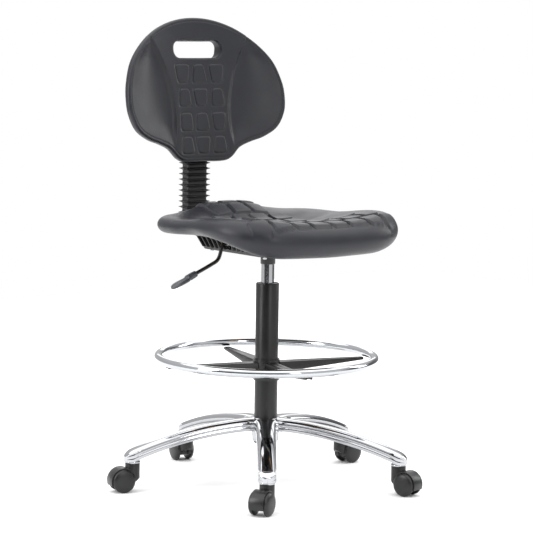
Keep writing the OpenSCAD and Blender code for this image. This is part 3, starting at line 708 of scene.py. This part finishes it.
rings = []
FACE_RINGS = 142
crest_line = rim / MM + inward * top_inset[:, None]
for k in range(FACE_RINGS + 1):
    share = k / FACE_RINGS
    xy = crest_line * share
    rise = float(ease(share, 0.38, 1.0))
    rings.append(np.column_stack([xy, dish(xy[:, 1] + seat_mid / MM) * (1 - rise) + crest * rise]))
for a in np.radians(np.linspace(6, 90, 15)):
    xy = rim / MM + inward * (top_inset * (1 - math.sin(a)))[:, None]
    rings.append(np.column_stack([xy, widest + (crest - widest) * math.cos(a)]))
for a in np.radians(np.linspace(8, 90, 12)):
    xy = rim / MM + inward * (low_inset * (1 - math.cos(a)) + tuck * math.sin(a) ** 2)[:, None]
    rings.append(np.column_stack([xy, widest - (widest - edge_low) * math.sin(a)]))
recess = np.array(round_rect(128, 168, 42, 40))
recess_bearing = np.arctan2(recess[:, 1], recess[:, 0])
order = np.argsort(recess_bearing)
around = np.arctan2(rim[:, 1], rim[:, 0])
mouth = np.stack([np.interp(around, recess_bearing[order], recess[order, k], period=2 * math.pi) for k in (0, 1)], 1)
recess_y = 20 - seat_mid / MM
mouth[:, 1] += recess_y
# The underside runs level to the recess, whose ceiling carries the insert; heights in mm
UNDERSIDE_Z, CEILING_Z = 548.5, 554.6
bottom = rings[-1][:, :2]
for share in (0.25, 0.6, 1.0):
    xy = bottom * (1 - share) + mouth * share
    rings.append(np.column_stack([xy, edge_low * (1 - share) + UNDERSIDE_Z * share]))
for share in (1.0, 0.7, 0.35, 0.0):
    xy = mouth * share + [0, (1 - share) * recess_y]
    rings.append(np.column_stack([xy, np.full(COUNT, CEILING_Z)]))

# Rows of pads: y of the row and how many pads it holds
PAD_PITCH = 49
pads = []
for y, count in [(161, 3), (109, 3), (57, 4), (5, 4), (-47, 5), (-99, 6), (-151, 7), (-202, 8)]:
    y -= seat_mid / MM
    for k in range(count):
        x = (k - (count - 1) / 2) * PAD_PITCH
        w, d, lean = 20.8, 22.4, (2.5 if k % 2 else -2.5)
        pads.append([(x - w - lean, y - d), (x + w + lean, y - d), (x + w - lean, y + d), (x - w + lean, y + d)])
skin = np.array(rings)
TOP_RINGS = FACE_RINGS + 16
flat = skin[:TOP_RINGS].reshape(-1, 3)
flat[:, 2] += pad_relief(flat[:, 0], flat[:, 1], pads, lift=5.2, groove=1.2, soft=1.6, side=2.4)
skin[:TOP_RINGS] = flat.reshape(-1, COUNT, 3)
skin[:, :, 1] += seat_mid / MM
shape = as_mesh(*loft([list(ring * MM) for ring in skin], caps=False))
seat = new_piece("seat_cushion_moulding", shape, foam, "seat_frame",
                 ["seat_cushion"], sharp=60)

# ---------------------------------------------------------------------------
# Backrest: the same foam round a steel insert. A raised centre panel with
# twelve low pads stands between two scooped wings, and a slot near the top
# makes a handle. The moulding leans back and wraps round the sitter.
# ---------------------------------------------------------------------------
LEAN = math.radians(8.7)
WRAP_R = 640.0
BACK_FOOT = Vector((0, 236 * MM, 689 * MM))
# Half outline, bottom to top, in mm in the plane of the face
BACK_HALF = [(0, 0), (52, 0), (74, 8), (96, 28.5), (124, 40), (157, 50), (190, 70), (209, 104), (213, 140),
             (208, 176), (190, 221), (154, 262), (106, 295.5), (53, 315), (0, 321)]
COUNT = 620
SLOT_MID = np.array([0.0, 250.0])
rim, inward = even_rim(BACK_HALF, COUNT, SLOT_MID)


def slot_edge(toward, grow):
    """Points of the slot's outline in the directions given, the slot grown by grow mm."""
    half_w, half_h, radius = 63.5 + grow, 19.0 + grow, 17.0 + grow
    direction = toward / np.linalg.norm(toward, axis=1)[:, None]
    near, far = np.zeros(len(direction)), np.full(len(direction), 120.0)
    for _ in range(40):
        middle = (near + far) / 2
        p = np.abs(direction * middle[:, None])
        past_w, past_h = (np.maximum(p[:, k] - half + radius, 0) for k, half in ((0, half_w), (1, half_h)))
        outside = np.hypot(past_w, past_h) > radius
        far = np.where(outside, middle, far)
        near = np.where(outside, near, middle)
    return direction * near[:, None]


# Height above the lower edge, half width of the centre panel there, in mm
PANEL = smooth_curve([(-20, 88), (0, 84), (40, 77), (75, 72), (110, 71), (150, 76), (205, 92),
                      (255, 117), (330, 165)], 10)


def panel_half(height):
    """Half width of the centre panel at a height above the lower edge."""
    return np.interp(height, PANEL[:, 0], PANEL[:, 1])


def face_depth(x, y, edge_gap):
    """How far the front face lies behind the flat, in mm; edge_gap is the distance to the rim."""
    wrap = -x * x / (2 * WRAP_R)
    beyond = np.abs(x) - panel_half(y)
    across = np.clip(beyond / (beyond + np.maximum(edge_gap - 4, 1)), 0, 1)
    band = ease(y, 18, 85) * (1 - ease(y, 225, 290))
    step = 4.0 * ease(beyond, -4, 11) * (1 - across) ** 1.3
    scoop = 6.5 * np.clip(np.sin(math.pi * across ** 0.75), 0, 1) ** 1.2
    crease = 0.4 * np.exp(-((beyond - 1) / 2.6) ** 2)
    rim_line = 1.0 * np.exp(-((edge_gap - 8) / 2.2) ** 2)
    return wrap + (step + scoop + crease) * band + rim_line


# Pads, row by row from the top: heights of the row, then for each pad its
# middle and its half widths at the top and at the bottom, in mm
PAD_ROWS = [((216, 175), [(-45, 20, 13.5), (1, 12.5, 20), (47, 19, 13.5)]),
            ((162, 123), [(-43, 13, 17), (1, 19.5, 13.5), (46, 12.5, 17.5)]),
            ((108, 68.5), [(-42.5, 15, 17), (1, 13, 19), (45, 18, 13.5)]),
            ((55, 17.5), [(-44, 13, 18), (-1, 20, 14), (43, 13, 18)])]
pads = [[(x - wb, bottom), (x + wb, bottom), (x + wt, top), (x - wt, top)]
        for (top, bottom), row in PAD_ROWS for x, wt, wb in row]

EDGE_R, SLOT_R, EDGE_T, BACK_T = 6.0, 6.0, 21.0, 44.0
toward = rim - SLOT_MID
outer = rim + inward * EDGE_R
inner_edge = SLOT_MID + slot_edge(toward, SLOT_R)
FACE_RINGS = 156
rings = []
for share in np.linspace(0, 1, FACE_RINGS + 1):
    xy = inner_edge * (1 - share) + outer * share
    gap = np.linalg.norm(xy - outer, axis=1) + EDGE_R
    depth = face_depth(xy[:, 0], xy[:, 1], gap) - pad_relief(
        xy[:, 0], xy[:, 1], pads, lift=1.1, groove=0.9, soft=2.6, side=2.0)
    rings.append(np.column_stack([xy, depth]))
rim_depth = rings[-1][:, 2]
for a in np.radians(np.linspace(15, 90, 6)):
    xy = rim + inward * (EDGE_R * (1 - math.sin(a)))
    rings.append(np.column_stack([xy, rim_depth + EDGE_R * (1 - math.cos(a))]))
BACK_R = 10.0
for share in (0.35, 0.7, 1.0):
    rings.append(np.column_stack([rim, rim_depth + EDGE_R + (EDGE_T - EDGE_R - BACK_R) * share]))
for a in np.radians(np.linspace(15, 90, 6)):
    xy = rim + inward * (BACK_R * (1 - math.cos(a)))
    rings.append(np.column_stack([xy, rim_depth + EDGE_T - BACK_R + BACK_R * math.sin(a)]))
back_outer = rim + inward * BACK_R
back_inner = SLOT_MID + slot_edge(toward, 7.0)
for share in np.linspace(0, 1, 46)[1:]:
    xy = back_outer * (1 - share) + back_inner * share
    reach = np.linalg.norm(xy - back_outer, axis=1)
    thick = EDGE_T + (BACK_T - EDGE_T) * ease(reach, 0, 110) * (1 - 0.45 * ease(xy[:, 1], 190, 245))
    depth = -xy[:, 0] ** 2 / (2 * WRAP_R) + thick
    pocket = (31.5 - 0.153 * xy[:, 1]) * ease(xy[:, 1], 8, 12) + 20.5 * (1 - ease(xy[:, 1], 8, 12))
    inside = (1 - ease(np.abs(xy[:, 0]), 41, 46)) * (1 - ease(xy[:, 1], 117, 124))
    depth = np.where(depth > pocket, depth * (1 - inside) + pocket * inside, depth)
    rings.append(np.column_stack([xy, depth]))
slot_back = rings[-1][:, 2]
for a in np.radians(np.linspace(18, 90, 5)):
    xy = SLOT_MID + slot_edge(toward, 7.0 * (1 - math.sin(a)))
    rings.append(np.column_stack([xy, slot_back - 7.0 * (1 - math.cos(a))]))
slot_front = rings[0][:, 2]
for a in np.radians(np.linspace(90, 18, 5)):
    xy = SLOT_MID + slot_edge(toward, SLOT_R * (1 - math.sin(a)))
    rings.append(np.column_stack([xy, slot_front + SLOT_R * (1 - math.cos(a))]))
rings.append(rings[0])
skin = np.array(rings)
lean = Matrix.Rotation(-LEAN, 3, "X")
turned = np.stack([skin[:, :, 0], skin[:, :, 2], skin[:, :, 1]], 2) @ np.array(lean).T
turned = turned * MM + np.array(BACK_FOOT)
shape = as_mesh(*loft([list(ring) for ring in turned], caps=False))
backrest = new_piece("back_cushion_moulding", shape, foam, "backrest",
                     ["back_cushion"], sharp=60)

# ---------------------------------------------------------------------------
# Studio: a pale floor under soft boxes on four sides and a broad soft light
# from above.
# ---------------------------------------------------------------------------
floor_mesh = bpy.data.meshes.new("floor")
FLOOR = 3.0
floor_mesh.from_pydata([(-FLOOR, -FLOOR, 0), (FLOOR, -FLOOR, 0), (FLOOR, FLOOR, 0), (-FLOOR, FLOOR, 0)], [],
                       [(0, 1, 2, 3)])
floor = bpy.data.objects.new("floor", floor_mesh)
bpy.context.scene.collection.objects.link(floor)
pale, tree, shader, place = new_material("pale_floor", Base_Color=srgb("f8f8f8"), Roughness=0.8)
floor_mesh.materials.append(pale)

# The room: white above and below, with dark panels at chair height in front and to
# the right that the shiny parts mirror. The backdrop itself is plain white.
CAMERA_TURN = math.radians(-37)
world = bpy.data.worlds.new("studio")
bpy.context.scene.world = world
world.use_nodes = True
tree = world.node_tree
sky = tree.nodes["Background"]
toward = add_node(tree, "ShaderNodeTexCoord").outputs["Generated"]
height = add_node(tree, "ShaderNodeSeparateXYZ", {"Vector": toward}).outputs["Z"]
to_camera = (math.sin(CAMERA_TURN), -math.cos(CAMERA_TURN), 0)
to_right = (math.cos(CAMERA_TURN), math.sin(CAMERA_TURN), 0)
forward, sideways = [
    add_node(tree, "ShaderNodeVectorMath", {0: toward, 1: way}, operation="DOT_PRODUCT").outputs["Value"]
    for way in (to_camera, to_right)]
turn = add_node(tree, "ShaderNodeMath", {0: sideways, 1: forward}, operation="ARCTAN2").outputs["Value"]


def grey_ramp(value, low, high, stops):
    """Grey levels along a value that runs from low to high: (value, grey)."""
    share = add_node(tree, "ShaderNodeMapRange", {"Value": value, "From Min": low, "From Max": high})
    ramp = add_node(tree, "ShaderNodeValToRGB", {"Fac": share.outputs["Result"]})
    for _ in stops[1:-1]:
        ramp.color_ramp.elements.new(0.5)
    for element, (at, grey) in zip(ramp.color_ramp.elements, stops):
        element.position = (at - low) / (high - low)
        element.color = (grey, grey, grey, 1)
    return ramp.outputs["Color"]


# By bearing from the middle of the front, in radians, positive to the right
panels = grey_ramp(turn, -math.pi, math.pi, [(-math.pi, 0.6), (-1.25, 0.8), (-0.95, 0.08), (0.30, 0.05), (0.48, 0.9),
                                             (1.40, 0.9), (1.70, 0.12), (2.60, 0.2), (math.pi, 0.6)])
# By the sine of the elevation: 1 where the panels stand, 0 above and below them
stand = grey_ramp(height, -1, 1, [(-1, 0.0), (-0.42, 0.0), (-0.30, 1.0), (0.26, 1.0), (0.44, 0.0), (1, 0.0)])
room = add_node(tree, "ShaderNodeMix", {"Factor": stand, "A": (0.8, 0.8, 0.81, 1), "B": panels}, data_type="RGBA")
seen = add_node(tree, "ShaderNodeLightPath").outputs["Is Camera Ray"]
blend = add_node(tree, "ShaderNodeMix", {"Factor": seen, "A": room.outputs["Result"], "B": (1, 1, 1, 1)},
                 data_type="RGBA")
tree.links.new(blend.outputs["Result"], sky.inputs["Color"])


def soft_light(name, place, wide, tall, power):
    """A soft box facing the middle of the chair."""
    data = bpy.data.lights.new(name, "AREA")
    data.shape = "RECTANGLE"
    data.size = wide
    data.size_y = tall
    data.energy = power
    lamp = bpy.data.objects.new(name, data)
    lamp.location = place
    lamp.rotation_euler = (Vector((0, 0, 0.55)) - Vector(place)).to_track_quat("-Z", "Y").to_euler()
    bpy.context.scene.collection.objects.link(lamp)


soft_light("left_box", (-3.4, 0.6, 1.7), 1.0, 2.0, 60)
soft_light("right_box", (3.5, -0.8, 1.7), 1.0, 1.8, 32)
soft_light("front_box", (-0.5, -3.8, 1.8), 0.6, 1.2, 20)
soft_light("back_box", (2.5, 3.3, 1.8), 2.6, 1.4, 15)
ceiling = bpy.data.lights.new("ceiling", "SUN")
ceiling.energy = 2.7
ceiling.angle = math.radians(100)
bpy.context.scene.collection.objects.link(bpy.data.objects.new("ceiling", ceiling))
bpy.context.scene.view_settings.view_transform = "Standard"

CAMERA_AWAY = 5.0
CAMERA_Z = 1.039
AIM_Z = 0.476
CAMERA_ROLL = math.radians(0.85)
FOCAL_MM = 157.6
SIDE_SHIFT = -0.0025
position = Vector((math.sin(CAMERA_TURN) * CAMERA_AWAY, -math.cos(CAMERA_TURN) * CAMERA_AWAY, CAMERA_Z))
ahead = (Vector((0, 0, AIM_Z)) - position).normalized()
right = ahead.cross(Vector((0, 0, 1))).normalized()
up = right.cross(ahead)
right, up = (right * math.cos(CAMERA_ROLL) + up * math.sin(CAMERA_ROLL),
             up * math.cos(CAMERA_ROLL) - right * math.sin(CAMERA_ROLL))
lens = bpy.data.cameras.new("camera")
lens.sensor_width = 36
lens.lens = FOCAL_MM
lens.shift_x = SIDE_SHIFT
lens.clip_end = 100
camera = bpy.data.objects.new("camera", lens)
camera.matrix_world = Matrix.Translation(position) @ Matrix((right, up, -ahead)).transposed().to_4x4()
bpy.context.scene.collection.objects.link(camera)
bpy.context.scene.camera = camera

bpy.context.view_layer.update()
